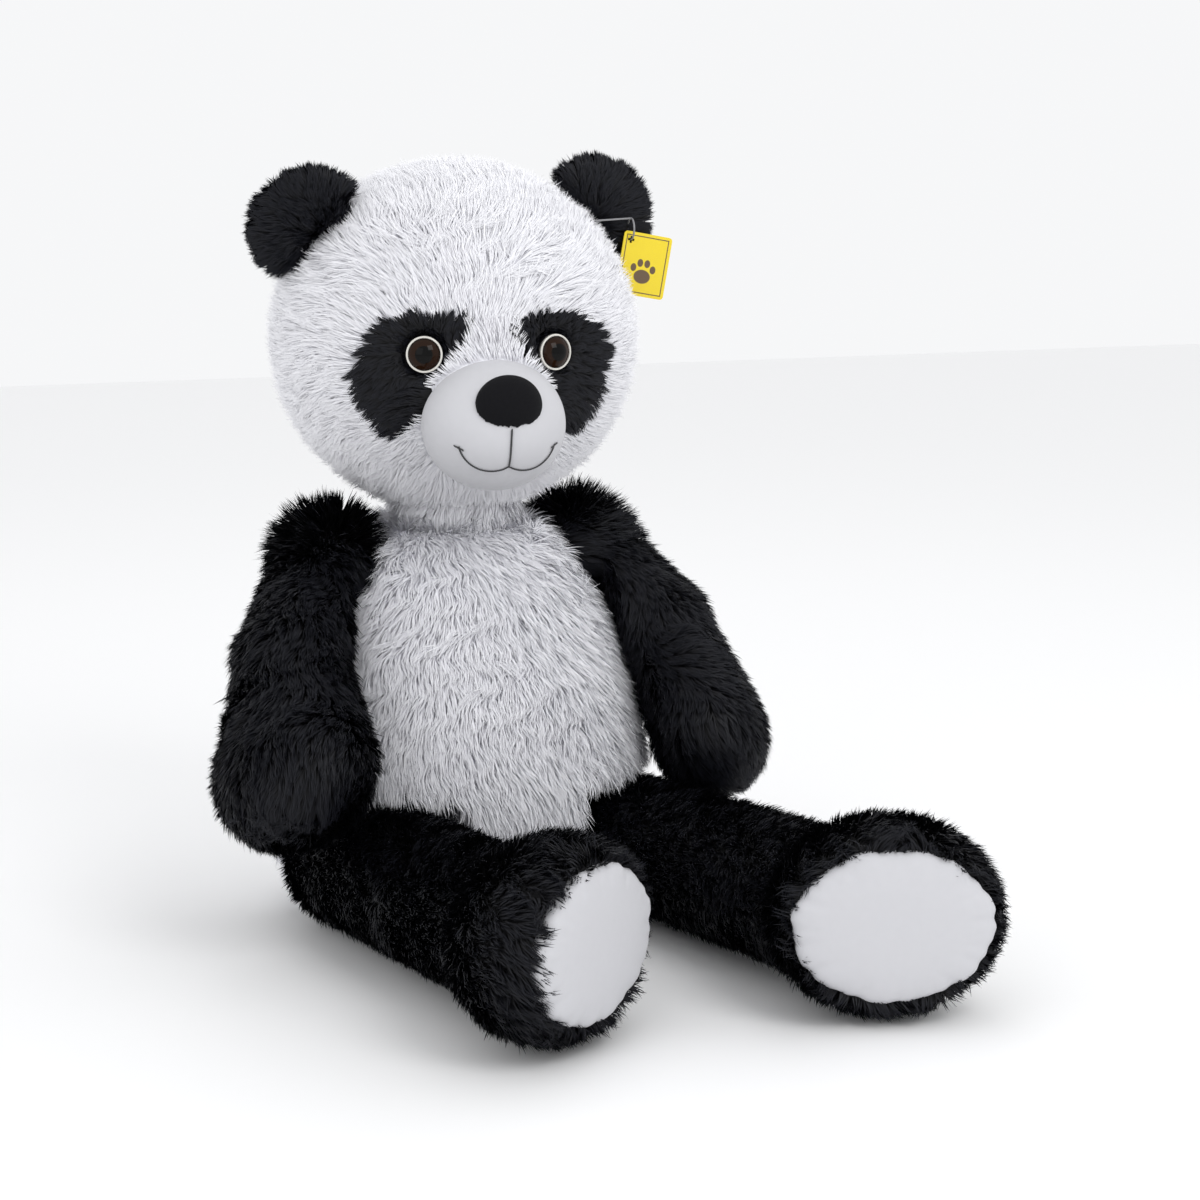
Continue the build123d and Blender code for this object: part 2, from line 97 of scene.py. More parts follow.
class Shade:
    """A socket of a material's nodes.  Arithmetic on it adds Math nodes."""

    def __init__(self, tree, socket):
        self.tree, self.socket = tree, socket

    def node(self, kind, settings, **inputs):
        """Adds any node: its settings first, then the values or links of its sockets."""
        made = self.tree.nodes.new(kind)
        for key, value in settings.items():
            if key == "stops":
                ramp = made.color_ramp
                while len(ramp.elements) < len(value):
                    ramp.elements.new(0.5)
                for element, (at, colour) in zip(ramp.elements, value):
                    element.position, element.color = at, colour
            else:
                setattr(made, key, value)
        for key, value in inputs.items():
            index = int(key[1:]) if key[1:].isdigit() else key.replace("_", " ")
            target = made.inputs[index]
            if isinstance(value, Shade):
                self.tree.links.new(value.socket, target)
            else:
                target.default_value = value
        return Shade(self.tree, made.outputs[0])

    def out(self, name):
        return Shade(self.tree, self.socket.node.outputs[name])

    def math(self, operation, *terms):
        return self.node("ShaderNodeMath", {"operation": operation},
                         **{f"i{n}": term for n, term in enumerate(terms)})

    def __add__(self, other):
        return self.math("ADD", self, other)

    def __sub__(self, other):
        return self.math("SUBTRACT", self, other)

    def __rsub__(self, other):
        return self.math("SUBTRACT", other, self)

    def __mul__(self, other):
        return self.math("MULTIPLY", self, other)

    __radd__, __rmul__ = __add__, __mul__

    def blend(self, low, high):
        """A colour from low to high as this value goes from 0 to 1."""
        mix = self.node("ShaderNodeMix", {"data_type": "RGBA"}, i0=self, i6=low, i7=high)
        return mix.out_index(2)

    def smooth_step(self, low, high):
        """0 where this value is low and 1 where it is high, with a soft change between."""
        kind = {"interpolation_type": "SMOOTHSTEP"}
        return self.node("ShaderNodeMapRange", kind, i0=self, i1=low, i2=high)

    def out_index(self, index):
        return Shade(self.tree, self.socket.node.outputs[index])


def rgb(red, green, blue):
    return (red, green, blue, 1.0)


def finish(name, **uniform):
    """A new material: its shader, and a first Shade to hang nodes on."""
    material = bpy.data.materials.new(name)
    material.use_nodes = True
    shader = material.node_tree.nodes["Principled BSDF"]
    for key, value in uniform.items():
        shader.inputs[key.replace("_", " ")].default_value = value
    start = Shade(material.node_tree, shader.outputs[0])
    return material, shader, start


def drive(shader, socket, shade):
    shade.tree.links.new(shade.socket, shader.inputs[socket])


def joint(name):
    return next(j for j in frame["joints"] if j["name"] == name)


def mesh_piece(name, points, faces, materials):
    mesh = bpy.data.meshes.new(name)
    mesh.from_pydata([tuple(p) for p in points], [], [tuple(f) for f in faces])
    piece = bpy.data.objects.new(name, mesh)
    scene.collection.objects.link(piece)
    for material in materials:
        mesh.materials.append(material)
    return piece


floor_finish, floor_shader, at = finish("floor_paint", Roughness=0.7)
mottle = at.node("ShaderNodeTexNoise", {}, Scale=3.0, Detail=2.0)
drive(floor_shader, "Base Color", mottle.blend(rgb(0.93, 0.93, 0.935), rgb(0.95, 0.95, 0.95)))
FLOOR = 6.0
floor_corners = [(-FLOOR, -FLOOR, 0), (FLOOR, -FLOOR, 0), (FLOOR, FLOOR, 0), (-FLOOR, FLOOR, 0)]
floor = mesh_piece("floor", floor_corners, [(0, 1, 2, 3)], [floor_finish])

# ---------------------------------------------------------------- torso
# Long silky white plush, cut as a front, two backs and a seat and sewn into a pear, then
# stuffed firmly with polyester fibre.  The pile runs down the body.
rng = np.random.default_rng(20)


def whole_skin(name, nodes, voxel, rounds, inset):
    """The closed outer skin of some CAD nodes: joined, remeshed, smoothed and moved in."""
    joined = bmesh.new()
    for node in nodes:
        joined.from_mesh(frame["nodes"][node].data)
    mesh = bpy.data.meshes.new(name)
    joined.to_mesh(mesh)
    joined.free()
    skin = bpy.data.objects.new(name, mesh)
    scene.collection.objects.link(skin)
    remesh = skin.modifiers.new("remesh", "REMESH")
    remesh.mode, remesh.voxel_size = "VOXEL", voxel * MM
    smooth = skin.modifiers.new("smooth", "SMOOTH")
    smooth.factor, smooth.iterations = 0.5, rounds
    evaluated = skin.evaluated_get(bpy.context.evaluated_depsgraph_get())
    skin.data = bpy.data.meshes.new_from_object(evaluated)
    skin.modifiers.clear()
    keep_outermost(skin.data)
    shape = bmesh.new()
    shape.from_mesh(skin.data)
    shape.normal_update()
    for vertex in shape.verts:
        vertex.co -= vertex.normal * inset * MM
    shape.to_mesh(skin.data)
    shape.free()
    skin.data.polygons.foreach_set("use_smooth", [True] * len(skin.data.polygons))
    return skin


def keep_outermost(mesh):
    """Drops the closed shells that lie inside the largest one."""
    shape = bmesh.new()
    shape.from_mesh(mesh)
    seen, best = set(), []
    for start in shape.verts:
        if start.index in seen:
            continue
        island, queue = [], [start]
        seen.add(start.index)
        while queue:
            vertex = queue.pop()
            island.append(vertex)
            for edge in vertex.link_edges:
                other = edge.other_vert(vertex)
                if other.index not in seen:
                    seen.add(other.index)
                    queue.append(other)
        if len(island) > len(best):
            best = island
    kept = set(v.index for v in best)
    bmesh.ops.delete(shape, geom=[v for v in shape.verts if v.index not in kept], context="VERTS")
    shape.to_mesh(mesh)
    shape.free()


def unit(vectors):
    return vectors / np.maximum(np.linalg.norm(vectors, axis=1, keepdims=True), 1e-9)


def ripple(points, length, seed):
    """Smooth random vectors that change over about one length, in millimetres."""
    waves = np.random.default_rng(seed)
    total = np.zeros_like(points)
    for _ in range(5):
        way = unit(waves.normal(size=(1, 3)))[0]
        way = way * (2 * math.pi / (length * MM)) * waves.uniform(0.6, 1.6)
        total += np.sin(points @ way + waves.uniform(0, 6.28))[:, None] * waves.normal(size=3)
    return total / 2.5


def scattered(skin, count):
    """Roots spread evenly over a skin: their places and the skin's normals there."""
    mesh = skin.data
    mesh.calc_loop_triangles()
    corners = np.zeros(len(mesh.vertices) * 3)
    mesh.vertices.foreach_get("co", corners)
    corners = corners.reshape(-1, 3)
    normals = np.zeros(len(mesh.vertices) * 3)
    mesh.vertices.foreach_get("normal", normals)
    normals = normals.reshape(-1, 3)
    faces = np.zeros(len(mesh.loop_triangles) * 3, int)
    mesh.loop_triangles.foreach_get("vertices", faces)
    faces = faces.reshape(-1, 3)
    a, b, c = (corners[faces[:, k]] for k in range(3))
    areas = np.linalg.norm(np.cross(b - a, c - a), axis=1)
    chosen = rng.choice(len(faces), count, p=areas / areas.sum())
    u, v = rng.random(count), rng.random(count)
    over = u + v > 1
    u[over], v[over] = 1 - u[over], 1 - v[over]
    weights = np.stack([1 - u - v, u, v], 1)
    roots = sum(weights[:, k, None] * corners[faces[chosen, k]] for k in range(3))
    out = unit(sum(weights[:, k, None] * normals[faces[chosen, k]] for k in range(3)))
    return roots, out


# how far along a lock each of its four rows stands, and how wide it is there
ROWS = np.array((0.0, 0.4, 0.75, 1.0))
ROW_WIDTH = np.array((0.85, 1.0, 0.62, 0.0))
# the row that each of a lock's seven points stands on: three pairs and the tip
LOCK_ROWS = [0, 0, 1, 1, 2, 2, 3]


def fur(name, body, skin, count, length, width, lift, flow, finish_used,
        clump=8.0, gather=0.5, wanted=None, ragged=0.25, soft=0.8):
    """A pelt of curved tapering locks on a skin, as one mesh that rides on a body.

    length is in millimetres, a number or a function of the roots; flow gives the way the pile
    lies; clump is the size of the groups whose tips draw together by the share gather.
    """
    roots, out = scattered(skin, count)
    if wanted is not None:
        kept = rng.random(len(roots)) < wanted(roots, out)
        roots, out = roots[kept], out[kept]
    n = len(roots)
    long = (length(roots) if callable(length) else np.full(n, float(length))) * MM
    long = long * (1 + ragged * rng.uniform(-1, 1, n))
    lie = flow(roots, out)
    lie = unit(lie - out * np.sum(lie * out, axis=1, keepdims=True))
    rise = np.radians(lift(roots) if callable(lift) else lift)
    rise = rise + np.radians(rng.normal(0, 7, n))
    stray = unit(rng.normal(size=(n, 3))) * 0.16
    way = unit(out * np.sin(rise)[:, None] + lie * np.cos(rise)[:, None] + stray)
    tips = roots + way * long[:, None]
    # neighbours draw together into locks
    cells = np.floor((roots + ripple(roots, 3 * clump, 3) * clump * MM * 0.3) / (clump * MM)).astype(int)
    _, group = np.unique(cells, axis=0, return_inverse=True)
    group = group.ravel()
    members = np.bincount(group)[:, None]
    middle = np.stack([np.bincount(group, tips[:, k]) for k in range(3)], 1) / members
    middle += rng.normal(size=middle.shape) * clump * MM * 0.22
    draw = gather * rng.uniform(0.5, 1.2, (n, 1))
    tips = tips + (middle[group] - tips) * np.clip(draw, 0, 0.95)
    bend = roots + out * (long * 0.42)[:, None] + lie * (long * 0.22)[:, None]
    t = ROWS[None, :, None]
    spine = roots[:, None] * (1 - t) ** 2 + bend[:, None] * 2 * t * (1 - t) + tips[:, None] * t ** 2
    ahead = unit((tips - roots))
    sideways = unit(np.cross(ahead, out) + 0.35 * rng.normal(size=(n, 3)))
    # every lock shows its front to the outside
    own = unit(np.cross(sideways, ahead))
    outside = np.where(np.sum(own * out, axis=1, keepdims=True) < 0, -1.0, 1.0)
    sideways, own = sideways * outside, own * outside
    half = 0.5 * width * MM * rng.uniform(0.7, 1.3, n)
    left = spine - sideways[:, None] * (half[:, None] * ROW_WIDTH)[:, :, None]
    right = spine + sideways[:, None] * (half[:, None] * ROW_WIDTH)[:, :, None]
    points = np.empty((n, 7, 3))
    points[:, 0:6:2] = left[:, :3]
    points[:, 1:6:2] = right[:, :3]
    points[:, 6] = spine[:, 3]
    points[:, :, 2] = np.maximum(points[:, :, 2], 0.7 * MM)
    first = np.arange(n)[:, None] * 7
    quads = np.concatenate([first + np.array((0, 1, 3, 2)), first + np.array((2, 3, 5, 4))])
    ends = first + np.array((4, 5, 6))
    loops = np.concatenate([quads.ravel(), ends.ravel()])
    sizes = np.concatenate([np.full(2 * n, 4), np.full(n, 3)])
    starts = np.concatenate([[0], np.cumsum(sizes)[:-1]])
    mesh = bpy.data.meshes.new(name)
    mesh.vertices.add(n * 7)
    mesh.loops.add(len(loops))
    mesh.polygons.add(len(sizes))
    mesh.vertices.foreach_set("co", points.ravel())
    mesh.loops.foreach_set("vertex_index", loops)
    mesh.polygons.foreach_set("loop_start", starts)
    mesh.polygons.foreach_set("loop_total", sizes)
    mesh.update(calc_edges=True)
    along = np.tile(ROWS[LOCK_ROWS], n)
    mesh.attributes.new("along", "FLOAT", "POINT").data.foreach_set("value", along)
    shade = np.repeat(rng.random(n), 7)
    mesh.attributes.new("lock", "FLOAT", "POINT").data.foreach_set("value", shade)
    # one small cell of the map for each lock
    grid = math.ceil(math.sqrt(n))
    cell = np.stack([np.arange(n) % grid, np.arange(n) // grid], 1)[:, None]
    within = np.stack([np.array((0.2, 0.8, 0.2, 0.8, 0.2, 0.8, 0.5)), 0.1 + 0.8 * ROWS[LOCK_ROWS]], 1)
    flat = ((cell + within[None]) / grid).reshape(-1, 2)
    mesh.uv_layers.new(name="OFBake").data.foreach_set("uv", flat[loops].ravel())
    # the locks take their light mostly from the form under them, as soft pile does
    lit = unit(out * soft + own * (1 - soft))
    mesh.polygons.foreach_set("use_smooth", [True] * len(sizes))
    mesh.normals_split_custom_set_from_vertices(np.repeat(lit, 7, axis=0).tolist())
    mesh.materials.append(finish_used)
    pelt = bpy.data.objects.new(name, mesh)
    scene.collection.objects.link(pelt)
    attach(pelt, body)
    return pelt


def tousle(roots, seed, broad, fine):
    """How handling has disturbed the pile: broad sweeps and small swirls."""
    return ripple(roots, 85, seed) * broad + ripple(roots, 24, seed + 1) * fine


def down(roots, out):
    """The pile runs down, wandering a little."""
    return np.array((0, 0, -1.0)) + tousle(roots, 5, 0.3, 0.4)


def plush_finish(name, root, middle, tip, **uniform):
    """Long pile: darker at the root as painted shade among the locks, each lock a little different."""
    material, shader, at = finish(name, **uniform)
    along = at.node("ShaderNodeAttribute", {"attribute_name": "along"}).out("Fac")
    lock = at.node("ShaderNodeAttribute", {"attribute_name": "lock"}).out("Fac")
    # colour along each lock: painted shade darkens the roots, and the black pile's bluish tips are a painted sheen
    ramp = along.node("ShaderNodeValToRGB", {"stops": [(0.0, rgb(*root)), (0.45, rgb(*middle)),
                                                     (1.0, rgb(*tip))]}, Fac=along)
    # each lock's own random tone is multiplied over the painted root shade
    root_shade_and_lock_tone = lock.node("ShaderNodeMix", {"data_type": "RGBA", "blend_type": "MULTIPLY"},
                                i0=lock * 0.3, i6=ramp, i7=rgb(*(0.5 + 0.5 * c for c in middle)))
    drive(shader, "Base Color", root_shade_and_lock_tone.out_index(2))
    return material


# the root colours are painted shade among the locks; the black pile's lighter bluish tips are a painted sheen
white_plush = plush_finish("white_plush", (0.82, 0.82, 0.87), (0.92, 0.92, 0.955), (0.94, 0.94, 0.965),
                           Roughness=0.85, Specular_IOR_Level=0.2)
black_plush = plush_finish("black_plush", (0.002, 0.002, 0.003), (0.004, 0.004, 0.006), (0.011, 0.012, 0.018),
                           Roughness=0.5, Specular_IOR_Level=0.22)


def cloth_finish(name, deep, pale):
    """The woven backing that shows between the locks."""
    material, shader, at = finish(name, Roughness=0.95)
    noise = at.node("ShaderNodeTexNoise", {}, Scale=140.0, Detail=3.0)
    drive(shader, "Base Color", noise.blend(rgb(*deep), rgb(*pale)))
    return material


white_backing = cloth_finish("white_backing", (0.8, 0.8, 0.84), (0.88, 0.88, 0.92))
black_backing = cloth_finish("black_backing", (0.003, 0.003, 0.004), (0.007, 0.007, 0.009))

torso_nodes = frame["record"]["behaviour"]["bodies"]["torso"]
torso_skin = whole_skin("torso_skin", torso_nodes, 5, 10, 7)
torso_skin.data.materials.append(white_backing)
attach(torso_skin, "torso")
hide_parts(*torso_nodes)

SEARCH_FAR = 0.04       # beyond this the pile is at its full length anyway
limb_skins = {}
for side in ("left", "right"):
    for limb in ("arm", "leg"):
        body = f"{side}_{limb}"
        limb_nodes = [n for n in frame["record"]["behaviour"]["bodies"][body] if not n.endswith("sole")]
        skin = whole_skin(body + "_skin", limb_nodes, 5, 10, 7)
        skin.data.materials.append(black_backing)
        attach(skin, body)
        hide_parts(*limb_nodes)
        limb_skins[body] = skin


def surface_tree(skin):
    mesh = skin.data
    return BVHTree.FromPolygons([v.co for v in mesh.vertices], [p.vertices for p in mesh.polygons])


def distance_to(skins):
    """How far a point is from the nearest of some skins, in millimetres."""
    trees = [surface_tree(skin) for skin in skins]

    def measure(roots):
        found = np.full(len(roots), 1000.0)
        for tree in trees:
            for index, root in enumerate(roots.tolist()):
                gap = tree.find_nearest(root, SEARCH_FAR)[3]
                if gap is not None:
                    found[index] = min(found[index], gap / MM)
        return found
    return measure


from_limbs = distance_to(limb_skins.values())


def torso_length(roots):
    """Full pile in the open, cropped short where a limb lies against the body."""
    return np.clip(from_limbs(roots) * 0.9, 5, 22)


for part in ("a", "b", "c"):
    fur("torso_fur_" + part, "torso", torso_skin, 38000, torso_length, 0.95, 34, down, white_plush,
        clump=6, gather=0.32, soft=0.92)

# ---------------------------------------------------------------- neck
# The torso and the head are one tube here, pinched by the seam and filled as hard as the head.
neck_skin = whole_skin("neck_skin", ["neck_stuffing"], 4, 4, -6)
neck_skin.data.materials.append(white_backing)
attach(neck_skin, "neck")
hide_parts("neck_stuffing")
NECK_BAND = 0.022      # the pile shows only on a band round the middle


def neck_band(roots, out):
    low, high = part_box("neck_stuffing")
    middle = (low[2] + high[2]) / 2
    return (np.abs(roots[:, 2] - middle) < NECK_BAND).astype(float)


fur("neck_fur", "neck", neck_skin, 16000, 19, 0.95, 30, down, white_plush,
    wanted=neck_band, clump=6, gather=0.32, soft=0.92)

# ---------------------------------------------------------------- head
# Four white plush panels sewn into a ball, with the two drooping eye patches let in as black
# plush.  The pile is brushed out from the muzzle in every direction.
head_right = np.array(joint("neck_nod")["axis"])
head_ahead = np.array((head_right[1], -head_right[0], 0))


def on_head(across_mm, ahead_mm, up_mm):
    """A place measured on the head: to the panda's left, forward, and up from the seat."""
    return (head_right * across_mm + head_ahead * ahead_mm + np.array((0, 0, up_mm))) * MM


def head_terms(points):
    """The same three measures of some points, in millimetres."""
    return points @ head_right / MM, points @ head_ahead / MM, points[:, 2] / MM


MUZZLE_AHEAD, MUZZLE_UP = 138, 433
MUZZLE_R = np.array((59, 59, 54))      # across, forward and up
MUZZLE = on_head(0, MUZZLE_AHEAD, MUZZLE_UP)
EYE_SPREAD, EYE_AHEAD, EYE_HEIGHT = 54, 130, 490
# the patch's outline, across and up: a drop that hangs outwards and down from over the eye
PATCH_EDGE = np.array((
    (100, 490), (92, 505), (79, 514), (60, 519), (38, 519), (22, 514), (20, 500), (32, 482),
    (48, 462), (56, 436), (64, 424), (74, 428), (86, 441), (96, 457), (101, 474)), float)


def in_patch(points):
    """True inside either eye patch, whose edge wanders a little."""
    x, ahead, z = head_terms(points)
    wander = ripple(points, 30, 9)
    x, z = np.abs(x) + 2.2 * wander[:, 0], z + 2.2 * wander[:, 1]
    inside = np.zeros(len(points), bool)
    for (x0, z0), (x1, z1) in zip(PATCH_EDGE, np.roll(PATCH_EDGE, -1, axis=0)):
        crosses = (z0 > z) != (z1 > z)
        inside ^= crosses & (x < (x1 - x0) * (z - z0) / (z1 - z0 if z1 != z0 else 1e-9) + x0)
    return inside & (ahead > 20)


head_nodes = ["face_left_panel", "face_right_panel", "head_back_left_panel", "head_back_right_panel",
              "head_stuffing", "left_eye_patch", "right_eye_patch"]
muzzle_nodes = ["muzzle_cover", "muzzle_stuffing"]
# the muzzle is joined in, so that the skin runs on under it without an edge
head_skin = whole_skin("head_skin", head_nodes + muzzle_nodes, 4, 8, 8)
head_skin.data.materials.append(white_backing)
head_skin.data.materials.append(black_backing)
middles = np.array([p.center for p in head_skin.data.polygons])
head_skin.data.polygons.foreach_set("material_index", in_patch(middles).astype(int))
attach(head_skin, "head")
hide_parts(*head_nodes)


def from_muzzle(roots, out):
    """The pile is brushed away from the muzzle, and falls a little at the sides."""
    away = unit(roots - MUZZLE)
    return away + np.array((0, 0, -0.25)) + tousle(roots, 5, 0.3, 0.36)


def eye_distance(roots):
    x, ahead, z = head_terms(roots)
    near = np.hypot(np.abs(x) - EYE_SPREAD, z - EYE_HEIGHT)
    return np.where(ahead > 40, near, 999.0)


def muzzle_distance(roots):
    """About how far outside the muzzle a root is, in millimetres."""
    x, ahead, z = head_terms(roots)
    offset = np.stack([x, ahead - MUZZLE_AHEAD, z - MUZZLE_UP], 1) / MUZZLE_R
    return (np.linalg.norm(offset, axis=1) - 1) * MUZZLE_R.mean()


def face_length(roots):
    """Clipped short beside the muzzle and round the eyes, full everywhere else."""
    by_muzzle = 10 + 0.45 * np.clip(muzzle_distance(roots), 0, 60)
    by_eye = 5 + 0.45 * np.clip(eye_distance(roots) - 13, 0, 60)
    return np.minimum(np.minimum(by_muzzle, by_eye), 21)


def white_here(roots, out):
    return (~in_patch(roots) & (muzzle_distance(roots) > -2) & (eye_distance(roots) > 15)).astype(float)


def black_here(roots, out):
    return (in_patch(roots) & (muzzle_distance(roots) > -2) & (eye_distance(roots) > 13)).astype(float)


def from_eye(roots, out):
    """The patch's pile is brushed out from the eye, and beside the muzzle away from that."""
    x, ahead, z = head_terms(roots)
    beside = np.clip(1 - muzzle_distance(roots) / 24, 0, 1)[:, None]
    left_eye = on_head(EYE_SPREAD, EYE_AHEAD, EYE_HEIGHT)
    right_eye = on_head(-EYE_SPREAD, EYE_AHEAD, EYE_HEIGHT)
    eye = np.where(x[:, None] > 0, left_eye, right_eye)
    away = unit(roots - eye) * (1 - 0.7 * beside) + unit(roots - MUZZLE) * (0.4 + 2.2 * beside)
    return away + np.array((0, 0, -0.3)) + tousle(roots, 6, 0.3, 0.3)


for part in ("a", "b", "c"):
    fur("head_fur_" + part, "head", head_skin, 42000, face_length, 0.9, 33, from_muzzle, white_plush,
        wanted=white_here, clump=5.5, gather=0.32, soft=0.92)
fur("eye_patch_fur", "head", head_skin, 190000, lambda r: face_length(r) * 0.8 + 1, 1.05, 34, from_eye,
    black_plush, wanted=black_here, clump=8, gather=0.65)

# ---------------------------------------------------------------- muzzle
# A separate bag of short white plush, stuffed hard and ladder-stitched onto the face.
muzzle_skin = whole_skin("muzzle_skin", muzzle_nodes, 2.2, 14, 0)


def velboa_finish(name, deep, pale, nap, sheen):
    """Short plush: a fine even nap that catches the light at its edges."""
    material, shader, at = finish(name, Roughness=0.9, Sheen_Weight=sheen, Sheen_Roughness=0.4,
                                  Specular_IOR_Level=0.1)
    nap_noise = at.node("ShaderNodeTexNoise", {}, Scale=900.0, Detail=2.0)
    drift = at.node("ShaderNodeTexNoise", {}, Scale=18.0, Detail=3.0)
    colour = (nap_noise * 0.6 + drift * 0.4).blend(rgb(*deep), rgb(*pale))
    drive(shader, "Base Color", colour)
    bump = at.node("ShaderNodeBump", {}, Strength=nap, Distance=0.0006, Height=nap_noise)
    drive(shader, "Normal", bump)
    return material


white_velboa = velboa_finish("white_velboa", (0.55, 0.55, 0.575), (0.60, 0.60, 0.625), 0.25, 0.12)
black_velboa = velboa_finish("black_velboa", (0.004, 0.004, 0.005), (0.011, 0.011, 0.013), 0.5, 0.03)
LIP_HEIGHT, NOSE_FOOT = 404, 432
GROOVE_DEEP, CHEEK_HIGH = 1.6, 1.2


def dent_muzzle():
    """Pulls in the seam under the nose and rounds the cheeks on either side of it."""
    mesh = muzzle_skin.data
    for vertex in mesh.vertices:
        x, ahead, z = (float(v[0]) for v in head_terms(np.array([vertex.co])))
        if ahead < 150:
            continue
        below_nose = min(1.0, max(0.0, (NOSE_FOOT + 6 - z) / 10))
        above_chin = min(1.0, max(0.0, (z - 385) / 14))
        groove = -GROOVE_DEEP * math.exp(-(x / 4.0) ** 2) * below_nose * above_chin
        cheek = CHEEK_HIGH * math.exp(-((abs(x) - 22) / 15) ** 2 - ((z - 414) / 18) ** 2)
        vertex.co += vertex.normal * (groove + cheek) * MM


dent_muzzle()
muzzle_skin.data.materials.append(white_velboa)
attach(muzzle_skin, "head")
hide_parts(*muzzle_nodes)

# ---------------------------------------------------------------- nose
# A lightly padded oval of short black plush, folded under and stitched round its edge.
nose_skin = whole_skin("nose_skin", ["nose"], 1.2, 8, -0.6)
nose_skin.data.materials.append(black_velboa)
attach(nose_skin, "head")
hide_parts("nose")

# ---------------------------------------------------------------- mouth
# Black embroidery thread: short overlapping stitches laid along the lip line.
SMILE_LOW, SMILE_END = (17, 400.5), (39, 420)
STITCH_LONG, STITCH_THICK, STITCH_PROUD = 3.4, 0.75, 0.9
thread, thread_shader, at = finish("black_thread", Roughness=0.6, Sheen_Weight=0.3)
twist = at.node("ShaderNodeTexWave", {"wave_type": "BANDS", "bands_direction": "DIAGONAL"},
                Scale=420.0, Distortion=1.0)
drive(thread_shader, "Base Color", twist.blend(rgb(0.006, 0.006, 0.007), rgb(0.03, 0.03, 0.034)))
muzzle_tree = surface_tree(muzzle_skin)


def on_muzzle(x, z):
    """The place on the muzzle straight behind a point of the lip line, and its normal."""
    start = on_head(x, 260, z)
    place, normal, _, _ = muzzle_tree.ray_cast(Vector(start), Vector(-head_ahead))
    return np.array(place), np.array(normal)


def arc_points(first, middle, last, step):
    """Points a step apart on the circle through three points of the lip line."""
    (ax, ay), (bx, by), (cx, cy) = first, middle, last
    d = 2 * (ax * (by - cy) + bx * (cy - ay) + cx * (ay - by))
    a2, b2, c2 = ax * ax + ay * ay, bx * bx + by * by, cx * cx + cy * cy
    ux = (a2 * (by - cy) + b2 * (cy - ay) + c2 * (ay - by)) / d
    uy = (a2 * (cx - bx) + b2 * (ax - cx) + c2 * (bx - ax)) / d
    radius = math.hypot(ax - ux, ay - uy)
    begin, end = math.atan2(ay - uy, ax - ux), math.atan2(cy - uy, cx - ux)
    sweep = (end - begin + math.pi) % (2 * math.pi) - math.pi
    steps = max(2, round(abs(sweep) * radius / step))
    return [(ux + radius * math.cos(begin + sweep * k / steps),
             uy + radius * math.sin(begin + sweep * k / steps)) for k in range(steps + 1)]


def stitch_row(shape, line, lean):
    """One plump stitch per step of the line, each turned a little across it."""
    for (x0, z0), (x1, z1) in zip(line, line[1:]):
        place, normal = on_muzzle((x0 + x1) / 2, (z0 + z1) / 2)
        start, _ = on_muzzle(x0, z0)
        end, _ = on_muzzle(x1, z1)
        along = Vector(end - start).normalized()
        up = Vector(normal)
        along = (along + along.cross(up) * lean).normalized()
        crosswise = along.cross(up).normalized()
        made = bmesh.ops.create_uvsphere(shape, u_segments=8, v_segments=8, radius=1)
        turn = Matrix((along, crosswise, up)).transposed().to_4x4()
        size = Matrix.Diagonal((STITCH_LONG / 2 * MM, STITCH_THICK * MM, STITCH_THICK * 0.8 * MM, 1))
        move = Matrix.Translation(Vector(place) + up * STITCH_PROUD * MM)
        bmesh.ops.transform(shape, matrix=move @ turn @ size, verts=made["verts"])


mouth_shape = bmesh.new()
drop = NOSE_FOOT + 2 - LIP_HEIGHT
rows = [[(0, LIP_HEIGHT + drop * k / 20) for k in range(21)]]
for side_sign in (1, -1):
    rows.append(arc_points((0, LIP_HEIGHT), (side_sign * SMILE_LOW[0], SMILE_LOW[1]),
                           (side_sign * SMILE_END[0], SMILE_END[1]), 2.0))
    # a short tick closes each end of the smile
    end_x, end_z = side_sign * SMILE_END[0], SMILE_END[1]
    rows.append([(end_x + side_sign * 1.6 * k, end_z - 1.0 + 0.9 * k) for k in (-2, -1, 0, 1, 2)])
for row in rows:
    stitch_row(mouth_shape, row, 0.25)
mouth_mesh = bpy.data.meshes.new("mouth_stitches")
mouth_shape.to_mesh(mouth_mesh)
mouth_shape.free()
mouth_mesh.polygons.foreach_set("use_smooth", [True] * len(mouth_mesh.polygons))
mouth_mesh.materials.append(thread)
mouth = bpy.data.objects.new("mouth_stitches", mouth_mesh)
scene.collection.objects.link(mouth)
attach(mouth, "head")
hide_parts("mouth_embroidery")

# ---------------------------------------------------------------- eyes
# Glossy moulded safety eyes: a clear dome over a painted brown iris and black pupil, a thin
# pale rim, and a stem through the cloth with a toothed washer pushed on inside the head.
rim_plastic, rim_shader, at = finish("pale_rim", Roughness=0.22, Coat_Weight=0.6, Coat_Roughness=0.1)
cast = at.node("ShaderNodeTexNoise", {}, Scale=60.0, Detail=1.0)
drive(rim_shader, "Base Color", cast.blend(rgb(0.62, 0.6, 0.55), rgb(0.78, 0.76, 0.71)))

painted_eye, eye_shader, at = finish("painted_eye", Roughness=0.05, Specular_IOR_Level=0.13)
radial = at.node("ShaderNodeAttribute", {"attribute_name": "radial"}).out("Fac")
fleck = at.node("ShaderNodeTexNoise", {}, Scale=500.0, Detail=2.0)
iris = fleck.blend(rgb(0.010, 0.004, 0.002), rgb(0.026, 0.011, 0.005))
pupil_edge = radial.smooth_step(0.50, 0.58)
outer_edge = radial.smooth_step(0.86, 0.98)
inside = pupil_edge.blend(rgb(0.002, 0.002, 0.002), iris)
drive(eye_shader, "Base Color", outer_edge.blend(inside, rgb(0.006, 0.003, 0.002)))

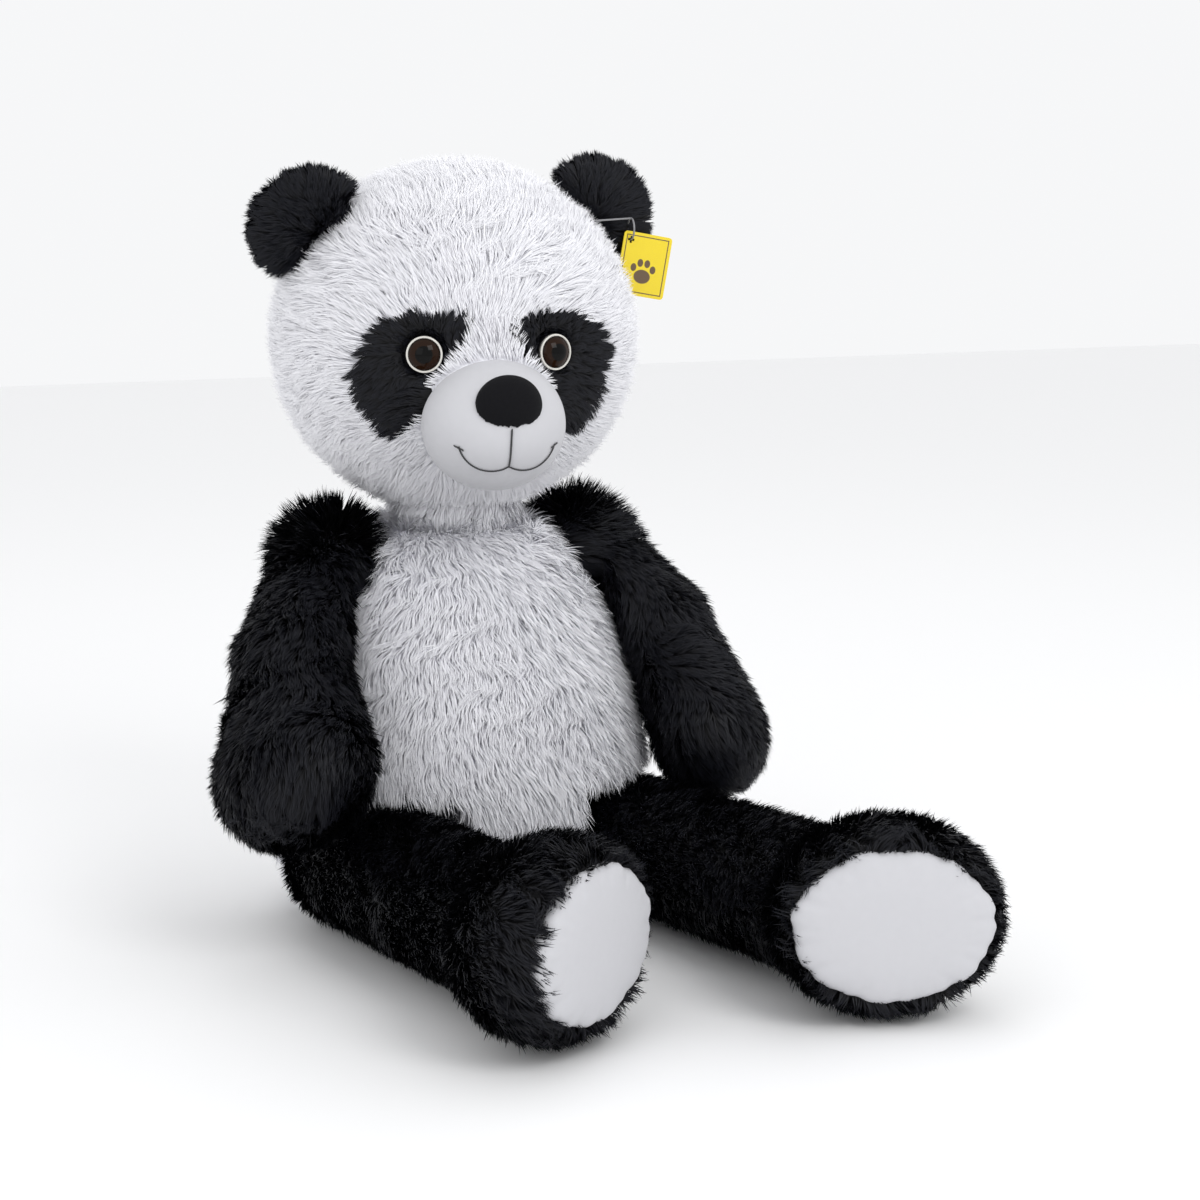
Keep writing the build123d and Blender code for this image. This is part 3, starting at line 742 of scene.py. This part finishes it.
black_moulding, moulding_shader, at = finish("black_moulding", Roughness=0.45)
grain = at.node("ShaderNodeTexNoise", {}, Scale=300.0, Detail=2.0)
drive(moulding_shader, "Base Color", grain.blend(rgb(0.01, 0.01, 0.01), rgb(0.025, 0.025, 0.025)))


def ring_faces(rings, around):
    """The quads that join rings of points, each ring running once around."""
    faces = []
    for ring in range(rings - 1):
        for k in range(around):
            a, b = ring * around + k, ring * around + (k + 1) % around
            faces.append((a, b, b + around, a + around))
    return faces


def turned(name, profile, place, look, segments, material, attribute=None):
    """A round piece turned from a profile of radius and height, facing the way it looks."""
    z_way = Vector(look).normalized()
    x_way = z_way.cross(Vector((0, 0, 1))).normalized()
    y_way = z_way.cross(x_way)
    points, rings = [], len(profile)
    for radius, height in profile:
        for k in range(segments):
            angle = 2 * math.pi * k / segments
            outward = x_way * math.cos(angle) + y_way * math.sin(angle)
            points.append(Vector(place) + outward * radius * MM + z_way * height * MM)
    faces = ring_faces(rings, segments)
    faces.append(tuple(reversed(range(segments))))
    faces.append(tuple(range((rings - 1) * segments, rings * segments)))
    piece = mesh_piece(name, points, faces, [material])
    piece.data.polygons.foreach_set("use_smooth", [True] * len(piece.data.polygons))
    if attribute:
        biggest = max(radius for radius, _ in profile)
        values = np.repeat([radius / biggest for radius, _ in profile], segments)
        piece.data.attributes.new(attribute, "FLOAT", "POINT").data.foreach_set("value", values)
    return piece


EYE_SPLAY = math.radians(17)
EYE_R, DOME_R, DOME_RISE = 15.0, 13.3, 6.4
for side, sign in (("left", 1), ("right", -1)):
    low, high = (np.array(c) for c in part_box(side + "_eye_rim"))
    place = (low + high) / 2
    look = head_right * sign * math.sin(EYE_SPLAY) + head_ahead * math.cos(EYE_SPLAY)
    ball = (DOME_R ** 2 + DOME_RISE ** 2) / (2 * DOME_RISE)
    lean = math.asin(DOME_R / ball)
    dome = [(DOME_R, -1.5)] + [(ball * math.sin(lean * (1 - k / 18)),
                                1.2 + DOME_RISE - ball + ball * math.cos(lean * (1 - k / 18)))
                               for k in range(19)][:-1] + [(0.4, 1.2 + DOME_RISE)]
    eye = turned(side + "_eye_dome", dome, place, look, 48, painted_eye, "radial")
    ring = [(DOME_R - 0.3 + 1.35 * (1 + math.cos(t)) * 0.72, 0.9 + 1.1 * math.sin(t))
            for t in np.linspace(-math.pi * 0.5, math.pi * 1.02, 14)]
    ring = [(EYE_R - 0.3, -2.0)] + ring
    rim = turned(side + "_eye_ring", ring, place, look, 48, rim_plastic)
    for piece, slot_name, nodes in ((eye, "clear_lens", [side + "_eye_lens", side + "_eye_iris"]),
                                    (rim, "white_plastic", [side + "_eye_rim"])):
        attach(piece, "head")
        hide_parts(*nodes)
    for node in (side + "_eye_back", side + "_eye_washer"):
        frame["nodes"][node].material_slots[0].material = black_moulding

# ---------------------------------------------------------------- ears
# Two round pieces of black plush with a thin filling, gathered into the head seam.  Their
# pile is the longest on the toy and stands out raggedly.
for side in ("left", "right"):
    body = side + "_ear"
    ear_nodes = frame["record"]["behaviour"]["bodies"][body]
    ear_skin = whole_skin(side + "_ear_skin", ear_nodes, 3, 5, 2)
    ear_skin.data.materials.append(black_backing)
    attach(ear_skin, body)
    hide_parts(*ear_nodes)
    root_place = np.array(joint(side + "_ear_fold")["pos_m"])

    def fan_out(roots, out, root_place=root_place):
        """The ear's pile fans out from its seam."""
        return unit(roots - root_place) + np.array((0, 0, -0.2)) + tousle(roots, 8, 0.25, 0.35)

    def off_seam(roots, out, root_place=root_place):
        return (np.linalg.norm(roots - root_place, axis=1) > 0.011).astype(float)

    fur(side + "_ear_fur", body, ear_skin, 22000, 17, 1.15, 38, fan_out, black_plush,
        wanted=off_seam, clump=7, gather=0.6, ragged=0.4)

# ---------------------------------------------------------------- arms
# A sleeve of shaggy black plush from the neck seam to a round mitten of a hand.
for side in ("left", "right"):
    body = side + "_arm"
    shoulder = np.array(joint(side + "_shoulder_swing")["pos_m"])
    middle = np.mean([v.co for v in limb_skins[body].data.vertices], axis=0)
    down_arm = unit((middle - shoulder)[None])[0]
    from_torso = distance_to([torso_skin])

    def arm_flow(roots, out, down_arm=down_arm):
        return down_arm + tousle(roots, 12, 0.35, 0.4)

    def shoulder_top(roots):
        """1 on top of the shoulder, where the pile stands up against the head."""
        return np.clip((roots[:, 2] / MM - 300) / 30, 0, 1)

    def arm_length(roots, from_torso=from_torso):
        return np.clip(4 + from_torso(roots) * 0.9, 6, 21) + 8 * shoulder_top(roots)

    def arm_lift(roots):
        return 36 + 24 * shoulder_top(roots)

    for part in ("a", "b"):
        fur(f"{body}_fur_{part}", body, limb_skins[body], 30000, arm_length, 1.15, arm_lift, arm_flow,
            black_plush, clump=8, gather=0.66, ragged=0.35)

# ---------------------------------------------------------------- legs
# A long tube of black plush, sewn into the side of the seat and turned up into a fat foot,
# with an oval sole of short white plush gathered into the end.
RINGS, AROUND = 26, 160
SOLE_PLUMP, SOLE_SUNK, SOLE_HEM = 9.0, 5, 8
SOLE_GROWN = 1.02       # the cushion reaches a little over the sole's edge
upward = np.array((0, 0, 1.0))
for side in ("left", "right"):
    body = side + "_leg"
    sole_points = np.array([v.co for v in frame["nodes"][side + "_sole"].data.vertices])
    sole_middle = (sole_points.min(0) + sole_points.max(0)) / 2
    spread = np.linalg.eigh(np.cov((sole_points - sole_middle).T))[1]
    facing = spread[:, 0] * (1 if spread[1, 0] < 0 else -1)
    facing[2] = 0
    facing = facing / np.linalg.norm(facing)
    sideway = np.cross(upward, facing)
    half_long = (np.abs((sole_points - sole_middle) @ sideway)).max()
    half_high = (np.abs((sole_points - sole_middle) @ upward)).max()
    face_at = ((sole_points - sole_middle) @ facing).max()

    def sole_terms(points, m=sole_middle, s=sideway, f=facing):
        """Where a point is on the sole, as shares of its half length and half height."""
        return (points - m) @ s / half_long, (points - m) @ upward / half_high, (points - m) @ f

    hip = np.array(joint(side + "_hip_swing")["pos_m"])

    def leg_flow(roots, out, f=facing, m=sole_middle, hip=hip):
        """Down the leg, and outward from the sole over the foot."""
        u, v, w = sole_terms(roots)
        foot = np.clip(1 - np.abs(w) / 0.09, 0, 1)[:, None]
        outward = unit((roots - m) - ((roots - m) @ f)[:, None] * f)
        along = unit(np.array([m - hip]))
        lean = along * (1 - foot) + outward * foot * 0.9 + f * foot * 0.5
        return lean + tousle(roots, 15, 0.3, 0.4) + np.array((0, 0, -0.15))

    def off_sole(roots, out):
        u, v, w = sole_terms(roots)
        return ((np.hypot(u, v) > 0.96) | (w < -0.03)).astype(float)

    def leg_length(roots, measure=distance_to([torso_skin])):
        return np.clip(3 + measure(roots) * 0.8, 5, 17)

    for part in ("a", "b"):
        fur(f"{body}_fur_{part}", body, limb_skins[body], 36000, leg_length, 1.1, 38, leg_flow,
            black_plush, wanted=off_sole, clump=7, gather=0.58, ragged=0.35)

    # the sole: a shallow cushion, puckered where it is gathered into the seam
    points = []
    pucker_phase = rng.uniform(0, 6.28, 4)
    for ring in range(RINGS + 1):
        share = ring / RINGS
        for k in range(AROUND):
            angle = 2 * math.pi * k / AROUND
            gather_here = sum(math.sin(angle * n + p) / w for n, p, w in
                              zip((7, 12, 19, 31), pucker_phase, (1.2, 1.6, 2.0, 2.6)))
            edge = max(0.0, (share - 0.62) / 0.38)
            reach = share * (1 + 0.014 * gather_here * edge)
            plump = SOLE_PLUMP * math.sqrt(max(0.0, 1 - share ** 3.2)) - 2.5
            rise_here = plump + 1.5 * gather_here * edge ** 2 * (1.15 - edge)
            points.append(sole_middle + sideway * half_long * SOLE_GROWN * reach * math.cos(angle)
                          + upward * half_high * SOLE_GROWN * reach * math.sin(angle)
                          + facing * (face_at - SOLE_SUNK * MM + rise_here * MM))
    faces = ring_faces(RINGS + 1, AROUND)
    sole = mesh_piece(side + "_sole_cushion", points, faces, [white_velboa])
    tidy = bmesh.new()
    tidy.from_mesh(sole.data)
    bmesh.ops.remove_doubles(tidy, verts=tidy.verts, dist=1e-5)
    rim_edges = [e for e in tidy.edges if e.is_boundary]
    # a hem turned back into the foot closes the cushion
    hem = bmesh.ops.extrude_edge_only(tidy, edges=rim_edges)["geom"]
    bmesh.ops.translate(tidy, verts=[v for v in hem if isinstance(v, bmesh.types.BMVert)],
                        vec=Vector(-facing * SOLE_HEM * MM))
    bmesh.ops.contextual_create(tidy, geom=[e for e in tidy.edges if e.is_boundary])
    bmesh.ops.recalc_face_normals(tidy, faces=tidy.faces)
    tidy.to_mesh(sole.data)
    tidy.free()
    sole.data.polygons.foreach_set("use_smooth", [True] * len(sole.data.polygons))
    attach(sole, body)
    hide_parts(side + "_sole")

# ---------------------------------------------------------------- hang tag
# A coated yellow card with a rounded edge and a plain paw mark, hung by its corner from a
# clear nylon loop that goes through the ear seam.
swing = joint("tag_swing")
tag_hole, tag_out = np.array(swing["pos_m"]), np.array(swing["axis"])
TAG_WIDE, TAG_TALL, TAG_THICK, TAG_LEAN = 44, 54, 1.0, math.radians(10)
HOLE_IN, HOLE_R = 7, 2.3        # how far the hole is from both edges, and its size
tag_across = head_right * math.cos(TAG_LEAN) - upward * math.sin(TAG_LEAN)
tag_up = head_right * math.sin(TAG_LEAN) + upward * math.cos(TAG_LEAN)
card, card_shader, at = finish("yellow_card", Roughness=0.35, Coat_Weight=0.35, Coat_Roughness=0.2)
place_on_card = at.node("ShaderNodeUVMap", {"uv_map": "card"})
card_xy = place_on_card.node("ShaderNodeSeparateXYZ", {}, Vector=place_on_card)
card_x, card_y = card_xy.out("X") * float(TAG_WIDE), card_xy.out("Y") * float(TAG_TALL)


def spot(x, y, wide, tall):
    """1 inside an oval printed on the card, 0 outside it."""
    dx, dy = (card_x - x) * (1 / wide), (card_y - y) * (1 / tall)
    far = dx * dx + dy * dy
    return far.smooth_step(1.12, 0.88)


paw = spot(22, 17, 7.5, 6.0)
for toe_x, toe_y in ((13.2, 24.0), (18.8, 28.5), (25.2, 28.5), (30.8, 24.0)):
    paw = paw.math("MAXIMUM", paw, spot(toe_x, toe_y, 2.6, 3.4))
edge_x = card_x.math("MINIMUM", card_x, float(TAG_WIDE) - card_x)
edge_y = card_y.math("MINIMUM", card_y, float(TAG_TALL) - card_y)
edge_gap = edge_x.math("MINIMUM", edge_x, edge_y)
frame_line = edge_gap.math("COMPARE", edge_gap, 3.0, 0.45)
grain = at.node("ShaderNodeTexNoise", {}, Scale=90.0, Detail=2.0)
yellow = grain.blend(rgb(0.80, 0.60, 0.005), rgb(0.87, 0.68, 0.012))
printed = paw.math("MAXIMUM", paw, frame_line)
drive(card_shader, "Base Color", printed.blend(yellow, rgb(0.12, 0.07, 0.03)))

COLUMNS, LINES, CORNER = 22, 27, 3.0
card_points, card_uv = [], []
for face in (1, -1):
    for line_no in range(LINES + 1):
        for column in range(COLUMNS + 1):
            x, y = TAG_WIDE * column / COLUMNS, TAG_TALL * line_no / LINES
            # corners are cut round
            cx, cy = min(max(x, CORNER), TAG_WIDE - CORNER), min(max(y, CORNER), TAG_TALL - CORNER)
            off = math.hypot(x - cx, y - cy)
            if off > CORNER:
                x, y = cx + (x - cx) * CORNER / off, cy + (y - cy) * CORNER / off
            curl = 0.9 * ((x / TAG_WIDE - 0.5) ** 2 * 4 - 0.3)
            from_hole = tag_across * (x - HOLE_IN) + tag_up * (y - TAG_TALL + HOLE_IN)
            out_of_card = tag_out * (curl + face * TAG_THICK / 2)
            card_points.append(tag_hole + (from_hole + out_of_card) * MM)
            card_uv.append((x / TAG_WIDE, y / TAG_TALL))
row_size, sheet_size = COLUMNS + 1, (COLUMNS + 1) * (LINES + 1)
card_faces = []
for line_no in range(LINES):
    for column in range(COLUMNS):
        a = line_no * row_size + column
        middle_x = TAG_WIDE * (column + 0.5) / COLUMNS - HOLE_IN
        middle_y = TAG_TALL * (line_no + 0.5) / LINES - TAG_TALL + HOLE_IN
        if math.hypot(middle_x, middle_y) < HOLE_R:
            continue
        b = a + sheet_size
        card_faces.append((a, a + 1, a + row_size + 1, a + row_size))
        card_faces.append((b, b + row_size, b + row_size + 1, b + 1))
tag = mesh_piece("swing_tag_card", card_points, card_faces, [card])
uv_layer = tag.data.uv_layers.new(name="card")
for loop in tag.data.loops:
    uv_layer.data[loop.index].uv = card_uv[loop.vertex_index]
walls = bmesh.new()
walls.from_mesh(tag.data)
front_back = {}
for edge in [e for e in walls.edges if e.is_boundary]:
    pair = tuple(sorted(v.index % sheet_size for v in edge.verts))
    front_back.setdefault(pair, []).append(edge)
for edges in front_back.values():
    if len(edges) == 2:
        bmesh.ops.contextual_create(walls, geom=edges)
bmesh.ops.delete(walls, geom=[v for v in walls.verts if not v.link_faces], context="VERTS")
bmesh.ops.recalc_face_normals(walls, faces=walls.faces)
walls.to_mesh(tag.data)
walls.free()
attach(tag, "tag")
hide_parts("hang_tag")

nylon, nylon_shader, at = finish("clear_nylon", Roughness=0.25)
cloud = at.node("ShaderNodeTexNoise", {}, Scale=200.0)
drive(nylon_shader, "Base Color", cloud.blend(rgb(0.20, 0.20, 0.21), rgb(0.28, 0.28, 0.29)))
frame["nodes"]["tag_loop"].material_slots[0].material = nylon
